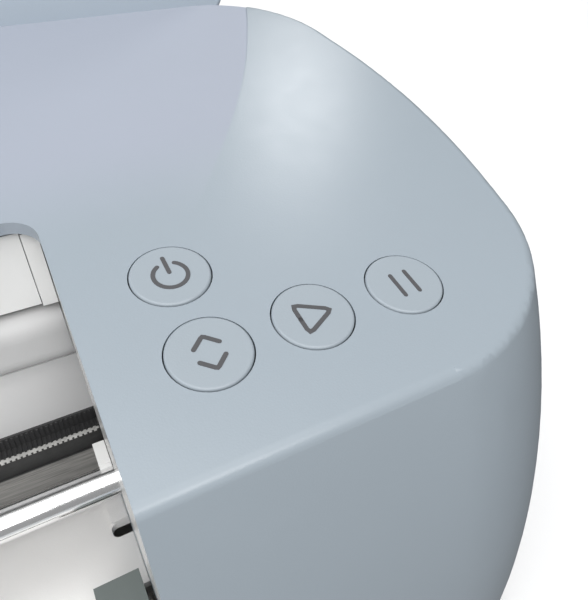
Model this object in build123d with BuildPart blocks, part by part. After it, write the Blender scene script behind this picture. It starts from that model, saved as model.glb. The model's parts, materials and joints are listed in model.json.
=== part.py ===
from build123d import *
import math
import os

# Desktop vinyl cutter, millimetres. X runs to the user's right, Y to the back, Z up.
# The model is drawn about the middle of the casing's footprint, with the desk at Z = 0,
# and moved by ORIGIN_Y when it is saved, so that the origin is under the middle of the
# open machine. The lid and the door are drawn closed and then swung open.

ORIGIN_Y = 27.5

# Casing envelope: the walls lean in along an arc above the widest level
HALF_WIDTH = 281.5
HALF_DEPTH = 89.0
PAN_BOTTOM = 3.0
PARTING_Z = 20.0
WIDEST_Z = 18.0
WALL_ARC = 365.0
FRONT_LEAN_SHARE = 1.1
REAR_LEAN_SHARE = 0.4
SIDE_LEAN_SHARE = 0.59
WALL = 2.5
EDGE_RADIUS = 3.0
SIDE_BULGE = 2.1
FRONT_CORNER_IN = 5.3
FRONT_CORNER_LEAN_SHARE = 1.42
REAR_CORNER_IN = 7.0
FRONT_CORNER_RADIUS = 55.0
FRONT_CORNER_TIGHTENING = 0.7
REAR_CORNER_RADIUS = 45.0
REAR_CORNER_TIGHTENING = 0.5
SIDE_RADIUS = 250.0
SIDE_TIGHTENING = 4.2

# Sloping top
SLOPE_DEG = 11.27
BUTTON_ROW_Y = -53.0
BUTTON_ROW_Z = 121.5

# Opening between the end caps, and the landing recess of the lid
OPEN_X = 165.0
OPEN_REAR_Y = -9.0
OPEN_CORNER = 6.0
BAY_X = 164.9
LINER_X = (165.1, 166.3)
RECESS_DEG = 0.6
CREASE = [(254.0, 84.0), (247.6, 67.1), (233.6, 37.5), (218.5, 11.5), (203.5, -9.0)]
CREASE_RADIUS = 240.0

# Mat path
PLATEN_Z = 32.0
PLATEN_THICK = 2.5
SLOT_LOW_Z = 31.0
SLOT_HIGH_Z = 41.0
FEED_Y = -44.0
FEED_Z = 26.0
FEED_SHAFT_R = 3.0
GRIT_R = 6.2
PINCH_R = 4.0
PINCH_Z = FEED_Z + GRIT_R + 0.4 + PINCH_R
ROLLER_X = (147.6, 164.6)
MESH_DEG = 10.0
PINCH_X = (151.8, 163.2)
PINCH_Y = (-50.0, -39.0)
PINCH_TOP_Z = 44.0

# Carriage drive
ROD_R = 4.0
ROD_Y = -23.2
ROD_Z = 60.6
BEAM_FRONT_Y = -10.0
LIP_TOP_Z = 58.4
BEAM_END_X = 204.0
BELT_FRONT_Y = -7.2
BELT_LOOP_R = 7.9
BELT_THICK = 1.4
BELT_Z = (58.4, 64.4)
PULLEY_X = 192.0
PULLEY_Y = BELT_FRONT_Y + BELT_LOOP_R
PULLEY_R = 6.9
FLANGE_R = 8.9
MOTOR_SIZE = 42.0

# Carriage
CARRIAGE_X = 40.0
TOOL_Y = -54.0
TOOL_X = 15.0
TOOL_R = 5.8
BLADE_TIP_Z = 40.0
LIFT_ROD_X = 22.0
LIFT_ROD_Y = -40.0
LIFT_ROD_R = 2.0
CLAMP_PIN_X = 27.0
CLAMP_PIN_R = 1.2

# Hinges
LID_AXIS_Y = 85.5
LID_AXIS_Z = 145.0
LID_OPEN_DEG = 111.3
LID_THICK = 3.0
LID_GAP = 0.4
LID_REAR_Y = 88.5
LID_BARREL_R = 2.9
LID_EAR_R = 2.6
LID_FRONT_Y = -74.0
DOOR_AXIS_Y = -83.0
DOOR_AXIS_Z = 8.0
DOOR_LOW_Z = 12.0
DOOR_HIGH_Z = 102.0
DOOR_X = 163.6
TRAY_BACK_Y = -75.5
WELL_FLOOR_Y = -81.2
WELL_Z = (28.0, 70.0)
HINGE_PIN_R = 1.5
RUNNING = 0.05

# Buttons
BUTTON_R = 7.6
BUTTON_HOLE_R = 7.85
BUTTON_PROUD = 0.35
BUTTONS = {
    "power_button": (184.5, 19.2),
    "load_button": (184.4, -0.2),
    "go_button": (204.5, 0.0),
    "pause_button": (224.8, 0.1),
}

# Electronics and openings at the back of the right end cap
BOARD_Z = 22.0
BOARD_X = (180.0, 238.0)
INLET_X = 200.0
USB_X = 221.0
PORT_Z = (23.8, 34.8)
TOOL_CUP = (-222.0, -18.0)
TOOL_CUP_SIZE = (56.0, 30.0)
TOOL_CUP_FLOOR_Z = 74.0

FEET = [(-215, -55), (215, -55), (-215, 58), (215, 58)]
SCREWS = [(-274, -30), (274, -30), (-274, 30), (274, 30), (-172, 81), (172, 81)]

TAN_SLOPE = math.tan(math.radians(SLOPE_DEG))
X_PLANE = Plane.YZ


def save(piece, name):
    """Move a finished sub-part to the shared origin, name it and write its STEP file."""
    placed = piece.moved(Location((0, ORIGIN_Y, 0)))
    placed.label = name
    export_step(placed, f"parts/{name}.step")


def block(x, y, z, mode=Mode.ADD):
    """Add or cut a box given by its low and high limits along X, Y and Z."""
    with Locations(((x[0] + x[1]) / 2, (y[0] + y[1]) / 2, (z[0] + z[1]) / 2)):
        Box(x[1] - x[0], y[1] - y[0], z[1] - z[0], mode=mode)


def rod_x(x, y, z, radius, mode=Mode.ADD):
    """Add or cut a round bar along X."""
    with Locations(((x[0] + x[1]) / 2, y, z)):
        Cylinder(radius, x[1] - x[0], rotation=(0, 90, 0), mode=mode)


def rod_z(x, y, z, radius, mode=Mode.ADD):
    """Add or cut a round bar along Z."""
    with Locations((x, y, (z[0] + z[1]) / 2)):
        Cylinder(radius, z[1] - z[0], mode=mode)


def span(side, low, high):
    """Limits along X on the right side (1) or mirrored to the left side (-1)."""
    return (low, high) if side > 0 else (-high, -low)


def lean(z):
    """How far a wall that follows the full arc stands in from the widest level at height z."""
    rise = max(z - WIDEST_Z, 0.0)
    return WALL_ARC - math.sqrt(WALL_ARC**2 - rise**2)


def front_y(z, inset=0.0):
    """Depth of the casing's front face at height z, moved in by an inset."""
    return FRONT_LEAN_SHARE * lean(z) + inset - HALF_DEPTH


def top_z(y):
    """Height of the sloping top at depth y."""
    return BUTTON_ROW_Z + (y - BUTTON_ROW_Y) * TAN_SLOPE


def recess_z(y):
    """Height of the lid's landing recess at depth y."""
    return top_z(OPEN_REAR_Y) + (y - OPEN_REAR_Y) * math.tan(math.radians(SLOPE_DEG - RECESS_DEG))


def slope_plane(y, z, degrees, x=0.0):
    """Plane through (x, y, z) whose normal leans forward by a slope in degrees."""
    angle = math.radians(degrees)
    return Plane((x, y, z), x_dir=(1, 0, 0), z_dir=(0, -math.sin(angle), math.cos(angle)))


def button_plane(x, up_slope, depth=0.0):
    """Plane on the sloping top at x and a distance up the slope from the button row."""
    angle = math.radians(SLOPE_DEG)
    y = BUTTON_ROW_Y + up_slope * math.cos(angle) + depth * math.sin(angle)
    z = BUTTON_ROW_Z + up_slope * math.sin(angle) - depth * math.cos(angle)
    return slope_plane(y, z, SLOPE_DEG, x)


def outline(z, inset):
    """Corner points and radii of the casing's plan outline at height z."""
    side = HALF_WIDTH - SIDE_LEAN_SHARE * lean(z) - inset
    corner_x = HALF_WIDTH - FRONT_CORNER_LEAN_SHARE * lean(z) - inset - FRONT_CORNER_IN
    half = [
        (corner_x, front_y(z, inset)),
        (side + SIDE_BULGE, 0),
        (side - REAR_CORNER_IN, HALF_DEPTH - REAR_LEAN_SHARE * lean(z) - inset),
    ]
    radii = [
        FRONT_CORNER_RADIUS - FRONT_CORNER_TIGHTENING * lean(z) - inset,
        SIDE_RADIUS - SIDE_TIGHTENING * lean(z) - inset,
        REAR_CORNER_RADIUS - REAR_CORNER_TIGHTENING * lean(z) - inset,
    ]
    return half + [(-x, y) for x, y in reversed(half)], radii + radii[::-1]


def footprint(inset, z_low, z_high):
    """Straight-sided solid of the plan outline at its widest, between two heights."""
    with BuildPart() as body:
        with BuildSketch(Plane.XY.offset(z_low)):
            with BuildLine():
                points, radii = outline(WIDEST_Z, inset)
                FilletPolyline(*points, radius=radii, close=True)
            make_face()
        extrude(amount=z_high - z_low)
    return body.part


def envelope(inset, z_low, z_high):
    """Solid of the casing's leaning walls between two heights."""
    levels = [z_low] + [z for z in (18, 50, 85, 120) if z_low < z < z_high] + [z_high]
    with BuildPart() as body:
        for z in levels:
            with BuildSketch(Plane.XY.offset(z)):
                with BuildLine():
                    points, radii = outline(z, inset)
                    FilletPolyline(*points, radius=radii, close=True)
                make_face()
        loft()
    return body.part


def casing_blank():
    """Full upper casing body with its rounded top edge, before it is hollowed."""
    with BuildPart() as blank:
        add(envelope(0.0, PARTING_Z, 160.0))
        split(bisect_by=slope_plane(BUTTON_ROW_Y, BUTTON_ROW_Z, SLOPE_DEG), keep=Keep.BOTTOM)
        fillet(blank.faces().sort_by(Axis.Z)[-1].edges(), EDGE_RADIUS)
    return blank.part


def casing_cavity():
    """Inside of the upper casing: two end caps and the space under the rear deck."""
    with BuildPart() as cavity:
        add(envelope(WALL, PARTING_Z - 1, 150.0))
        drop = WALL / math.cos(math.radians(SLOPE_DEG))
        split(bisect_by=slope_plane(BUTTON_ROW_Y, BUTTON_ROW_Z - drop, SLOPE_DEG), keep=Keep.BOTTOM)
        for side in (-1, 1):
            block(span(side, OPEN_X, OPEN_X + WALL), (-100, 14), (10, 160), Mode.SUBTRACT)
    return cavity.part


def crease_line(gap):
    """Half plan curve of the recess edge, moved in by a gap."""
    return [(x - gap, y) for x, y in CREASE]


def recess_cut():
    """Wedge removed from the rear deck where the lid lands."""
    with BuildPart() as wedge:
        with BuildSketch(Plane.XY.offset(100)):
            with BuildLine():
                half = crease_line(0.0)
                points = [(OPEN_X - 30, 95), (256, 95)] + half + [(OPEN_X - 30, half[-1][1])]
                bends = [0, 0, 0] + [CREASE_RADIUS] * 3 + [0, 0]
                FilletPolyline(*points, radius=bends, close=True)
            make_face()
            mirror(about=Plane.YZ)
            with Locations((0, 43)):
                Rectangle(2 * OPEN_X, 104)
        extrude(amount=80)
        split(bisect_by=slope_plane(OPEN_REAR_Y, top_z(OPEN_REAR_Y), SLOPE_DEG - RECESS_DEG))
    return wedge.part


def make_upper_casing(blank):
    """Blue shell: both end caps, the rear deck and the rear wall in one moulding."""
    with BuildPart() as casing:
        add(blank)
        add(casing_cavity(), mode=Mode.SUBTRACT)
        for x, y in SCREWS:
            rod_z(x, y, (PARTING_Z, 40), 6.0)
        cut_opening()
        add(recess_cut(), mode=Mode.SUBTRACT)
        cut_casing_holes()
    save(casing.part, "upper_casing")


def cut_opening():
    """Front and top opening between the end caps, and the mat slot in the rear wall."""
    with BuildSketch(Plane.XY.offset(PARTING_Z - 1)) as opening:
        with BuildLine():
            corners = [(-OPEN_X, -110), (OPEN_X, -110), (OPEN_X, OPEN_REAR_Y), (-OPEN_X, OPEN_REAR_Y)]
            FilletPolyline(*corners, radius=[0, 0, OPEN_CORNER, OPEN_CORNER], close=True)
        make_face()
    extrude(opening.sketch, amount=150, mode=Mode.SUBTRACT)
    block((-164, 164), (60, 100), (SLOT_LOW_Z, SLOT_HIGH_Z), Mode.SUBTRACT)


def cut_casing_holes():
    """Button holes, tool cup, inner wall windows, shaft and rod holes, and rear ports."""
    for x, up_slope in BUTTONS.values():
        with BuildSketch(button_plane(x, up_slope, 6.0)) as hole:
            Circle(BUTTON_HOLE_R)
        extrude(hole.sketch, amount=12, mode=Mode.SUBTRACT)
    with BuildSketch(Plane.XY.offset(100)) as cup_hole:
        with Locations(TOOL_CUP):
            SlotOverall(TOOL_CUP_SIZE[0], TOOL_CUP_SIZE[1])
    extrude(cup_hole.sketch, amount=60, mode=Mode.SUBTRACT)
    for side in (-1, 1):
        low, high = span(side, OPEN_X - 1, LINER_X[1] + 0.1)
        with BuildSketch(X_PLANE.offset(low)) as seat:
            with BuildLine():
                Polyline(*side_plate_profile(), close=True)
            make_face()
            offset(amount=0.1, kind=Kind.INTERSECTION)
        extrude(seat.sketch, amount=high - low, mode=Mode.SUBTRACT)
        wall = span(side, OPEN_X - 1, OPEN_X + WALL + 1)
        block(wall, (-12.5, 12), (48, 108), Mode.SUBTRACT)
        rod_x(wall, ROD_Y, ROD_Z, ROD_R, Mode.SUBTRACT)
        rod_x(wall, FEED_Y, FEED_Z, 5.0, Mode.SUBTRACT)
    block((INLET_X - 6, INLET_X + 6), (80, 100), PORT_Z, Mode.SUBTRACT)
    block((USB_X - 6.5, USB_X + 6.5), (80, 100), PORT_Z, Mode.SUBTRACT)
    for x, y in SCREWS:
        rod_z(x, y, (PARTING_Z - 1, 34), HINGE_PIN_R, Mode.SUBTRACT)


def make_base_pan():
    """Tray that closes the casing from below, notched at the front for the door."""
    notch_x = (-OPEN_X + 0.4, OPEN_X - 0.4)
    with BuildPart() as hollow:
        add(footprint(WALL, PAN_BOTTOM + 3, PARTING_Z + 1))
        block((notch_x[0] - WALL, notch_x[1] + WALL), (-110, -76), (0, 30), Mode.SUBTRACT)
    with BuildPart() as pan:
        add(footprint(0.0, PAN_BOTTOM, PARTING_Z))
        chamfer(pan.faces().sort_by(Axis.Z)[0].edges(), 2.0)
        add(hollow.part, mode=Mode.SUBTRACT)
        block(notch_x, (-110, -78.5), (0, 30), Mode.SUBTRACT)
        for x in (-60, 60):
            for y in ((-69.5, FEED_Y - 9), (FEED_Y + 9, 80)):
                block((x - 1, x + 1), y, (5, PLATEN_Z - PLATEN_THICK))
        for x, y in SCREWS:
            rod_z(x, y, (5, PARTING_Z), 6.0)
        for x, y in SCREWS:
            rod_z(x, y, (0, 5.4), 3.2, Mode.SUBTRACT)
            rod_z(x, y, (5, 30), HINGE_PIN_R, Mode.SUBTRACT)
        for x, y in FEET:
            rod_z(x, y, (0, PAN_BOTTOM + 1), 9.0, Mode.SUBTRACT)
        for side in (-1, 1):
            rod_x(span(side, 160, 170), DOOR_AXIS_Y, DOOR_AXIS_Z, HINGE_PIN_R, Mode.SUBTRACT)
        for x in (BOARD_X[0] + 5, BOARD_X[1] - 5):
            for y in (24, 70):
                rod_z(x, y, (5, BOARD_Z), 3.5)
    save(pan.part, "base_pan")


def make_feet():
    """Four rubber feet seated in the base pan."""
    with BuildPart() as feet:
        for x, y in FEET:
            rod_z(x, y, (0, PAN_BOTTOM + 1), 9.0)
        chamfer(feet.edges().group_by(Axis.Z)[0], 0.8)
    save(feet.part, "rubber_feet")


def make_casing_screws():
    """Six screws that come up through the base pan into the casing's bosses."""
    with BuildPart() as screws:
        for x, y in SCREWS:
            rod_z(x, y, (3.4, 5.4), 3.0)
            rod_z(x, y, (5.4, 32), HINGE_PIN_R)
            rod_z(x, y, (3.4, 4.4), 1.2, Mode.SUBTRACT)
    save(screws.part, "casing_screws")


def side_plate_profile():
    """Outline in Y and Z of the white lining sheet in an end cap's inner wall."""
    front, rear, low, lip = -72.0, 12.0, PLATEN_Z + 8, 2.5
    top_rear = top_z(OPEN_REAR_Y) - 2 * lip
    return [(front, low), (rear, low), (rear, top_rear), (OPEN_REAR_Y, top_rear), (front, top_z(front) - lip)]


def make_side_plates():
    """White lining sheets let into the inner walls of both end caps."""
    with BuildPart() as plates:
        for side in (-1, 1):
            low, high = span(side, *LINER_X)
            with BuildSketch(X_PLANE.offset(low)) as sheet:
                with BuildLine():
                    Polyline(*side_plate_profile(), close=True)
                make_face()
            extrude(sheet.sketch, amount=high - low)
            wall = span(side, OPEN_X - 2, OPEN_X + WALL)
            block(wall, (-12.5, 12.5), (48, 108), Mode.SUBTRACT)
            rod_x(wall, ROD_Y, ROD_Z, ROD_R, Mode.SUBTRACT)
    save(plates.part, "side_plates")


def make_rear_liner():
    """White gloss panel under the rear edge of the opening, with short end returns."""
    with BuildPart() as liner:
        block((-161.5, 161.5), (-7.2, -5.2), (108.2, 126.5))
        for side in (-1, 1):
            block(span(side, 161.7, BAY_X), (-8.2, -5.2), (108.2, 126.5))
            block(span(side, 150, BAY_X), (-5.2, -3.6), (109, 126))
    save(liner.part, "rear_liner")


def make_crossbar():
    """Rounded light grey tie bar that also guides the top of the carriage."""
    with BuildPart() as bar:
        with BuildSketch(X_PLANE.offset(-BAY_X)):
            with Locations((-4, 99)):
                RectangleRounded(12, 15, 5)
        extrude(amount=2 * BAY_X)
    save(bar.part, "top_crossbar")


def make_rail_beam():
    """Folded steel beam with a belt shelf, a front lip and a stepped back plate."""
    section = [
        (BEAM_FRONT_Y, 51), (-8.5, 51), (-8.5, 56), (6, 56), (6, 104),
        (4.2, 104), (4.2, 83), (3, 83), (3, 57.5), (-8.5, 57.5), (-8.5, LIP_TOP_Z),
        (BEAM_FRONT_Y, LIP_TOP_Z),
    ]
    with BuildPart() as beam:
        with BuildSketch(X_PLANE.offset(-BEAM_END_X)):
            with BuildLine():
                Polyline(*section, close=True)
            make_face()
        extrude(amount=2 * BEAM_END_X)
        for side in (-1, 1):
            block(span(side, 178, 210), (2, 12), (57.5, 110), Mode.SUBTRACT)
            block(span(side, 178, BEAM_END_X), (2, 12), (56, 57.5))
            block(span(side, 169, 210), (-12, -8.5), (50, 70), Mode.SUBTRACT)
        block((BEAM_END_X - 1, BEAM_END_X + 14), (-5, 6), (56, 57.5))
        block((BEAM_END_X + 12.5, BEAM_END_X + 14), (-5, 6), (51.8, 57.5))
        rod_z(-PULLEY_X, PULLEY_Y, (50, 60), 4.0, Mode.SUBTRACT)
        rod_z(PULLEY_X, PULLEY_Y, (50, 60), 2.0, Mode.SUBTRACT)
    save(beam.part, "rail_beam")


def make_belt_channel():
    """Black plastic channel that lies in the beam under the belt."""
    with BuildPart() as channel:
        block((-BAY_X, BAY_X), (-8.5, 3.0), (57.5, 58.0))
        block((-BAY_X, BAY_X), (2.2, 3.0), (58.0, 62.2))
    save(channel.part, "belt_channel")


def make_belt():
    """Carriage drive belt: a closed loop on edge round the two pulleys."""
    inner = BELT_LOOP_R - BELT_THICK / 2
    outer = BELT_LOOP_R + BELT_THICK / 2
    with BuildPart() as belt:
        with BuildSketch(Plane.XY.offset(BELT_Z[0])):
            with Locations((0, PULLEY_Y)):
                SlotCenterToCenter(2 * PULLEY_X, 2 * outer)
                SlotCenterToCenter(2 * PULLEY_X, 2 * inner, mode=Mode.SUBTRACT)
        extrude(amount=BELT_Z[1] - BELT_Z[0])
    save(belt.part, "drive_belt")


def make_pulley(x, name):
    """Toothed belt pulley with two flanges, driven by a shaft or bored for an axle."""
    with BuildPart() as pulley:
        rod_z(x, PULLEY_Y, (57.9, 64.9), PULLEY_R)
        rod_z(x, PULLEY_Y, (57.6, 58.1), FLANGE_R)
        rod_z(x, PULLEY_Y, (64.7, 65.6), FLANGE_R)
        rod_z(x, PULLEY_Y, (65.6, 70.0), 5.0)
        with Locations((x, PULLEY_Y, 61.4)):
            with PolarLocations(PULLEY_R, 24):
                Cylinder(0.45, 6.6, mode=Mode.SUBTRACT)
        if name == "motor_pulley":
            rod_z(x, PULLEY_Y, (46.5, 71), 2.5)
        else:
            rod_z(x, PULLEY_Y, (50, 75), 2.0 + RUNNING, Mode.SUBTRACT)
    save(pulley.part, name)


def make_carriage_drive():
    """Stepper, pulleys, the tensioner slide with its axle, and the tensioner's spring."""
    half = MOTOR_SIZE / 2
    with BuildPart() as motor:
        block((-PULLEY_X - half, -PULLEY_X + half), (PULLEY_Y - half, PULLEY_Y + half), (21, 56))
        chamfer(motor.edges().filter_by(Axis.Z), 4.0)
        rod_z(-PULLEY_X, PULLEY_Y, (46, 60), 2.5 + RUNNING, Mode.SUBTRACT)
    save(motor.part, "carriage_motor")
    make_pulley(-PULLEY_X, "motor_pulley")
    make_pulley(PULLEY_X, "idler_pulley")
    with BuildPart() as slide:
        block((PULLEY_X - 8, BEAM_END_X), (PULLEY_Y - 5, PULLEY_Y + 5), (52.5, 56))
        rod_z(PULLEY_X, PULLEY_Y, (52.5, 71.5), 2.0)
    save(slide.part, "idler_tensioner")
    make_coil("tension_spring", (BEAM_END_X + 0.3, PULLEY_Y, 53.0), (1, 0, 0), 11.9, 2.2, 0.35, 1.4)


def make_coil(name, start, direction, length, radius, wire, pitch):
    """Round wire coil spring along a direction."""
    with BuildPart() as coil:
        with BuildLine() as path:
            Helix(pitch, length - 2 * wire, radius, center=start, direction=direction)
        with BuildSketch(Plane(origin=path.line @ 0, z_dir=path.line % 0)):
            Circle(wire)
        sweep(is_frenet=True)
    save(coil.part.moved(Location(tuple(wire * d for d in direction))), name)


def make_guide_rod():
    """Polished steel rod that carries the carriage."""
    with BuildPart() as rod:
        rod_x((-OPEN_X - WALL, OPEN_X + WALL), ROD_Y, ROD_Z, ROD_R)
        chamfer(rod.edges().filter_by(GeomType.CIRCLE), 0.6)
    save(rod.part, "guide_rod")


def make_rod_brackets():
    """White cradles behind the rod at both ends."""
    with BuildPart() as brackets:
        for side in (-1, 1):
            block(span(side, 161.9, BAY_X), (-21.5, -13.9), (57.0, 66.0))
            block(span(side, 161.9, BAY_X), (-15.5, BEAM_FRONT_Y), (52, 57.5))
            rod_x(span(side, 150, 170), ROD_Y, ROD_Z, ROD_R, Mode.SUBTRACT)
    save(brackets.part, "rod_brackets")


def make_platen():
    """Bed that the mat slides over, with roller slots and a groove for the cutting strip."""
    with BuildPart() as platen:
        top = PLATEN_Z - PLATEN_THICK
        block((-BAY_X, BAY_X), (-72, 85.5), (top, PLATEN_Z))
        block((-BAY_X, BAY_X), (-72, -69.5), (22, top))
        fillet(platen.edges().filter_by(Axis.X).group_by(Axis.Z)[-1].sort_by(Axis.Y)[0], 2.0)
        block((-147, 147), (TOOL_Y - 3, TOOL_Y + 3), (PLATEN_Z - 1.2, PLATEN_Z + 1), Mode.SUBTRACT)
        for side in (-1, 1):
            block(span(side, 147.3, 165.5), (FEED_Y - 7, FEED_Y + 7), (20, 40), Mode.SUBTRACT)
            with BuildSketch(Plane.XY.offset(PLATEN_Z - 4)):
                with Locations((side * 164.3, -18.4)):
                    RectangleRounded(9.6, 4.6, 1.8)
            extrude(amount=8, mode=Mode.SUBTRACT)
            block(span(side, 159.9, BAY_X), (-16.1, -6.0), (PLATEN_Z, PLATEN_Z + 1.2))
    save(platen.part, "platen")


def make_cutting_strip():
    """Soft strip under the blade's line of travel."""
    with BuildPart() as strip:
        block((-146.8, 146.8), (TOOL_Y - 2.9, TOOL_Y + 2.9), (PLATEN_Z - 1.2, PLATEN_Z - 0.1))
    save(strip.part, "cutting_strip")


def toothed_wheel(x, y, z, teeth, pitch_r, turn):
    """Straight-sided spur teeth about an axis along X between two X limits."""
    root, tip = pitch_r - 1.25, pitch_r + 0.85
    with BuildSketch(Plane(origin=(x[0], y, z), x_dir=(0, 1, 0), z_dir=(1, 0, 0))) as wheel:
        Circle(root)
        with PolarLocations(0, teeth, start_angle=turn):
            with BuildLine(mode=Mode.PRIVATE) as flank:
                Polyline((root - 0.6, -1.05), (tip, -0.38), (tip, 0.38), (root - 0.6, 1.05), close=True)
            add(make_face(flank.line, mode=Mode.PRIVATE))
    extrude(wheel.sketch, amount=x[1] - x[0])


def make_feed_drive():
    """Feed motor, pinion, gear, shaft, grit rollers and the bushes the shaft runs in."""
    pinion_y, pinion_z = feed_motor_axis()
    half = MOTOR_SIZE / 2
    with BuildPart() as motor:
        block((183, 219), (pinion_y - half, pinion_y + half), (pinion_z - half, pinion_z + half))
        chamfer(motor.edges().filter_by(Axis.X), 4.0)
        rod_x((182, 192), pinion_y, pinion_z, 2.5 + RUNNING, Mode.SUBTRACT)
    save(motor.part, "feed_motor")
    with BuildPart() as bracket:
        block((181, 183), (pinion_y - half, pinion_y + half), (6, pinion_z + half))
        block((181, 200), (pinion_y - half, pinion_y + half), (6, 8))
        rod_x((180, 184), pinion_y, pinion_z, 8.5, Mode.SUBTRACT)
    save(bracket.part, "feed_motor_bracket")
    with BuildPart() as pinion:
        toothed_wheel((171, 179), pinion_y, pinion_z, 12, 6.0, pinion_turn())
        rod_x((171, 191.5), pinion_y, pinion_z, 2.5)
    save(pinion.part, "feed_pinion")
    with BuildPart() as gear:
        toothed_wheel((172, 178), FEED_Y, FEED_Z, 36, 18.0, 0)
        rod_x((170.2, 172), FEED_Y, FEED_Z, 6.0)
        rod_x((160, 190), FEED_Y, FEED_Z, FEED_SHAFT_R, Mode.SUBTRACT)
        with Locations((175, FEED_Y, FEED_Z)):
            with PolarLocations(11, 5):
                Cylinder(2.6, 20, rotation=(0, 90, 0), mode=Mode.SUBTRACT)
    save(gear.part, "feed_gear")
    with BuildPart() as shaft:
        rod_x((-169.5, 179.5), FEED_Y, FEED_Z, FEED_SHAFT_R)
    save(shaft.part, "feed_shaft")
    with BuildPart() as rollers:
        for side in (-1, 1):
            rod_x(span(side, *ROLLER_X), FEED_Y, FEED_Z, GRIT_R)
        chamfer(rollers.edges().filter_by(GeomType.CIRCLE), 0.4)
        rod_x((-180, 180), FEED_Y, FEED_Z, FEED_SHAFT_R, Mode.SUBTRACT)
    save(rollers.part, "grit_rollers")
    with BuildPart() as bushes:
        for side in (-1, 1):
            rod_x(span(side, ROLLER_X[1] + 0.3, 170), FEED_Y, FEED_Z, 5.0)
        rod_x((-180, 180), FEED_Y, FEED_Z, FEED_SHAFT_R + RUNNING, Mode.SUBTRACT)
    save(bushes.part, "shaft_bushes")


def feed_motor_axis():
    """Depth and height of the feed motor's shaft, set back and up from the feed shaft."""
    distance = 24.2
    angle = math.radians(MESH_DEG)
    return FEED_Y + distance * math.cos(angle), FEED_Z + distance * math.sin(angle)


def pinion_turn():
    """Turn that puts a gap of the pinion on the line to the gear's nearest tooth."""
    return MESH_DEG + 180 + 15


def make_pinch_units():
    """Housings that press a roller on each mat edge, with their rollers and pins."""
    with BuildPart() as housings:
        for side in (-1, 1):
            block(span(side, *PINCH_X), PINCH_Y, (34.6, PINCH_TOP_Z))
            block(span(side, 153, 163.6), (-56, -50), (38, PINCH_TOP_Z))
            block(span(side, 154, 161), (-49.2, -39.6), (30, 43), Mode.SUBTRACT)
            rod_x(span(side, 151, 164), FEED_Y, PINCH_Z, 1.0, Mode.SUBTRACT)
    save(housings.part, "pinch_housings")
    with BuildPart() as pins:
        for side in (-1, 1):
            rod_x(span(side, *PINCH_X), FEED_Y, PINCH_Z, 1.0)
    save(pins.part, "pinch_pins")
    with BuildPart() as rollers:
        for side in (-1, 1):
            rod_x(span(side, 154.4, 160.6), FEED_Y, PINCH_Z, PINCH_R)
            rod_x(span(side, 150, 164), FEED_Y, PINCH_Z, 1.0 + RUNNING, Mode.SUBTRACT)
    save(rollers.part, "pinch_rollers")


def make_electronics():
    """Control board with its chips, the power inlet, the data port and the button board."""
    with BuildPart() as board:
        block(BOARD_X, (18, 82), (BOARD_Z, BOARD_Z + 1.6))
        block((190, 204), (34, 48), (BOARD_Z + 1.6, BOARD_Z + 3.2))
        block((214, 222), (30, 44), (BOARD_Z + 1.6, BOARD_Z + 3.6))
        for x in (192, 204, 216):
            rod_z(x, 62, (BOARD_Z + 1.6, BOARD_Z + 12), 4.0)
        block((212, 230), (21, 26), (BOARD_Z + 1.6, BOARD_Z + 8))
    save(board.part, "control_board")
    with BuildPart() as inlet:
        block((INLET_X - 5.5, INLET_X + 5.5), (74, 88.4), PORT_Z)
        middle = sum(PORT_Z) / 2
        with Locations((INLET_X, 83.4, middle)):
            Cylinder(3.2, 10.1, rotation=(90, 0, 0), mode=Mode.SUBTRACT)
            Cylinder(1.0, 9.0, rotation=(90, 0, 0))
    save(inlet.part, "power_inlet")
    with BuildPart() as port:
        block((USB_X - 6, USB_X + 6), (74, 88.4), (PORT_Z[0], PORT_Z[1] - 0.3))
        block((USB_X - 4.2, USB_X + 4.2), (79, 90), (PORT_Z[0] + 1.4, PORT_Z[1] - 1.7), Mode.SUBTRACT)
        block((USB_X - 2.6, USB_X + 2.6), (79, 87.5), (27.8, 30.9))
    save(port.part, "usb_port")
    with BuildPart() as button_board:
        with BuildSketch(button_plane(204.6, 9.6, 9.0)):
            RectangleRounded(60, 40, 2)
        extrude(amount=1.4)
        for x, up_slope in BUTTONS.values():
            with BuildSketch(button_plane(x, up_slope, 7.6)):
                Rectangle(6, 6)
            extrude(amount=1.2)
        with BuildSketch(button_plane(204.6, 9.6, 9.0)):
            with Locations((-27, -18), (27, -18), (6, 16)):
                Circle(1.6)
        extrude(amount=6.5)
    save(button_board.part, "button_board")


def make_buttons():
    """Four round key caps that stand just proud of the sloping top."""
    for name, (x, up_slope) in BUTTONS.items():
        with BuildPart() as cap:
            with BuildSketch(button_plane(x, up_slope, 3.2)):
                Circle(BUTTON_R)
            extrude(amount=3.2 + BUTTON_PROUD)
            fillet(cap.edges().group_by(Axis.Z)[-1], 0.5)
            with BuildSketch(button_plane(x, up_slope, 4.1)):
                Circle(8.8)
            extrude(amount=0.9)
            with BuildSketch(button_plane(x, up_slope, 5.3)):
                Circle(2.0)
            extrude(amount=1.5)
        save(cap.part, name)


def make_tool_cup():
    """Open cup for hand tools, let into the top of the left end cap."""
    wide, deep = TOOL_CUP_SIZE
    with BuildPart() as cup:
        with BuildSketch(Plane.XY.offset(TOOL_CUP_FLOOR_Z)):
            with Locations(TOOL_CUP):
                SlotOverall(wide, deep)
        extrude(amount=70)
        with BuildSketch(Plane.XY.offset(TOOL_CUP_FLOOR_Z + 2)):
            with Locations(TOOL_CUP):
                SlotOverall(wide - 3.2, deep - 3.2)
        extrude(amount=80, mode=Mode.SUBTRACT)
        plane = slope_plane(BUTTON_ROW_Y, BUTTON_ROW_Z + 0.1, SLOPE_DEG)
        split(bisect_by=plane, keep=Keep.BOTTOM)
    save(cup.part, "tool_cup")


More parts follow.
